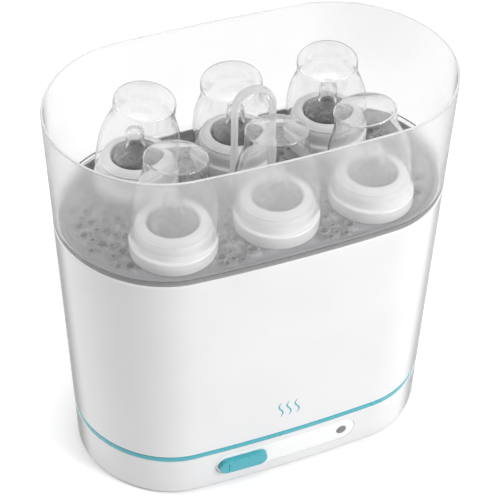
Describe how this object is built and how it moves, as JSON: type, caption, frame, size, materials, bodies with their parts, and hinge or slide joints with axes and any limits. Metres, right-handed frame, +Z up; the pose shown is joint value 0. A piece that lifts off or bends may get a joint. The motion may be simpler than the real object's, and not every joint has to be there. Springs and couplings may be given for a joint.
{
  "type": "baby bottle steam sterilizer",
  "caption": "Oval countertop steam sterilizer: base with round heater, white lower basket, grey perforated tray of capped bottle tops, frosted open-topped upper wall, and tongs.",
  "frame": {"origin": "centre of the footprint on the table plane", "axes": "+Z up, the front with the power button and indicator faces -Y, +X runs to the right along the body's wide side"},
  "size_m": [0.29, 0.167, 0.306],
  "materials": {
    "white_shell": "smooth satin-gloss polypropylene",
    "frosted_wall": "frosted translucent polypropylene",
    "tray_grey": "satin polypropylene, mid grey",
    "teal_accent": "satin coloured ABS",
    "ring_white": "smooth polypropylene",
    "clear_cap": "clear, polished",
    "silicone": "clear silicone, slightly milky",
    "tongs_plastic": "translucent, smooth",
    "lamp_grey": "smoked lens",
    "stainless": "brushed stainless steel",
    "aluminium": "bare, as cast",
    "black_plastic": "fine-textured thermoplastic",
    "foot_rubber": "matte, grippy",
    "seal_rubber": "soft silicone",
    "board_green": "epoxy laminate with solder mask",
    "led_clear": "clear epoxy",
    "brass_pin": "plain",
    "wire_brown": "extruded insulation",
    "wire_blue": "extruded insulation",
    "wire_green": "extruded insulation"
  },
  "bodies": {
    "base": {"base_housing": "white_shell", "accent_ring": "teal_accent", "water_basin": "white_shell", "bottom_cover": "white_shell", "foot_1": "foot_rubber", "foot_2": "foot_rubber", "foot_3": "foot_rubber", "foot_4": "foot_rubber", "cover_screw_1": "stainless", "cover_screw_2": "stainless", "cover_screw_3": "stainless", "cover_screw_4": "stainless", "heating_plate": "stainless", "heater_seal": "seal_rubber", "heat_spreader": "aluminium", "heating_element": "stainless", "thermostat": "black_plastic", "thermostat_bracket": "stainless", "thermal_fuse": "aluminium", "control_board": "board_green", "switch_body": "black_plastic", "status_led": "led_clear", "control_panel": "white_shell", "indicator_lens": "lamp_grey", "mains_inlet": "black_plastic", "inlet_pin_live": "brass_pin", "inlet_pin_neutral": "brass_pin", "inlet_pin_earth": "brass_pin", "live_wire": "wire_brown", "neutral_wire": "wire_blue", "earth_wire": "wire_green"},
    "power_button": {"power_button": "teal_accent", "button_spring": "stainless"},
    "lower_basket": {"lower_basket": "white_shell", "bottle_rack": "white_shell"},
    "upper_wall": {"upper_wall": "frosted_wall"},
    "steam_tray": {"steam_tray": "tray_grey"},
    "tongs": {"tongs_left_arm": "tongs_plastic"},
    "tongs_arm": {"tongs_right_arm": "tongs_plastic"},
    "bottle_top_front_left": {"screw_ring_front_left": "ring_white", "teat_front_left": "silicone"},
    "dome_front_left": {"dome_cap_front_left": "clear_cap"},
    "bottle_top_front_middle": {"screw_ring_front_middle": "ring_white", "teat_front_middle": "silicone"},
    "dome_front_middle": {"dome_cap_front_middle": "clear_cap"},
    "bottle_top_front_right": {"screw_ring_front_right": "ring_white", "teat_front_right": "silicone"},
    "dome_front_right": {"dome_cap_front_right": "clear_cap"},
    "bottle_top_rear_left": {"screw_ring_rear_left": "ring_white", "teat_rear_left": "silicone"},
    "dome_rear_left": {"dome_cap_rear_left": "clear_cap"},
    "bottle_top_rear_middle": {"screw_ring_rear_middle": "ring_white", "teat_rear_middle": "silicone"},
    "dome_rear_middle": {"dome_cap_rear_middle": "clear_cap"},
    "bottle_top_rear_right": {"screw_ring_rear_right": "ring_white", "teat_rear_right": "silicone"},
    "dome_rear_right": {"dome_cap_rear_right": "clear_cap"}
  },
  "joints": [
    {"name": "power_press", "type": "slide", "parent": "base", "child": "power_button", "axis": [0, 1, 0], "range_m": [0, 0.0025], "stiffness_N_per_m": 900, "springref_m": -0.001, "deforming": ["button_spring"]},
    {"name": "basket_lift", "type": "slide", "parent": "base", "child": "lower_basket", "axis": [0, 0, 1], "range_m": [0, 0.05]},
    {"name": "wall_lift", "type": "slide", "parent": "lower_basket", "child": "upper_wall", "axis": [0, 0, 1], "range_m": [0, 0.11]},
    {"name": "tray_lift", "type": "slide", "parent": "lower_basket", "child": "steam_tray", "axis": [0, 0, 1], "range_m": [0, 0.12]},
    {"name": "tongs_lift", "type": "slide", "parent": "steam_tray", "child": "tongs", "axis": [0, 0, 1], "range_m": [0, 0.17]},
    {"name": "tongs_squeeze", "type": "hinge", "parent": "tongs", "child": "tongs_arm", "pos_m": [0, 0, 0.3025], "axis": [0, 1, 0], "range_deg": [0, 4.5], "stiffness_Nm_per_rad": 1.2},
    {"name": "top_lift_front_left", "type": "slide", "parent": "steam_tray", "child": "bottle_top_front_left", "axis": [0, 0, 1], "range_m": [0, 0.1]},
    {"name": "dome_lift_front_left", "type": "slide", "parent": "bottle_top_front_left", "child": "dome_front_left", "axis": [0, 0, 1], "range_m": [0, 0.09]},
    {"name": "top_lift_front_middle", "type": "slide", "parent": "steam_tray", "child": "bottle_top_front_middle", "axis": [0, 0, 1], "range_m": [0, 0.1]},
    {"name": "dome_lift_front_middle", "type": "slide", "parent": "bottle_top_front_middle", "child": "dome_front_middle", "axis": [0, 0, 1], "range_m": [0, 0.09]},
    {"name": "top_lift_front_right", "type": "slide", "parent": "steam_tray", "child": "bottle_top_front_right", "axis": [0, 0, 1], "range_m": [0, 0.1]},
    {"name": "dome_lift_front_right", "type": "slide", "parent": "bottle_top_front_right", "child": "dome_front_right", "axis": [0, 0, 1], "range_m": [0, 0.09]},
    {"name": "top_lift_rear_left", "type": "slide", "parent": "steam_tray", "child": "bottle_top_rear_left", "axis": [0, 0, 1], "range_m": [0, 0.1]},
    {"name": "dome_lift_rear_left", "type": "slide", "parent": "bottle_top_rear_left", "child": "dome_rear_left", "axis": [0, 0, 1], "range_m": [0, 0.09]},
    {"name": "top_lift_rear_middle", "type": "slide", "parent": "steam_tray", "child": "bottle_top_rear_middle", "axis": [0, 0, 1], "range_m": [0, 0.1]},
    {"name": "dome_lift_rear_middle", "type": "slide", "parent": "bottle_top_rear_middle", "child": "dome_rear_middle", "axis": [0, 0, 1], "range_m": [0, 0.09]},
    {"name": "top_lift_rear_right", "type": "slide", "parent": "steam_tray", "child": "bottle_top_rear_right", "axis": [0, 0, 1], "range_m": [0, 0.1]},
    {"name": "dome_lift_rear_right", "type": "slide", "parent": "bottle_top_rear_right", "child": "dome_rear_right", "axis": [0, 0, 1], "range_m": [0, 0.09]}
  ]
}
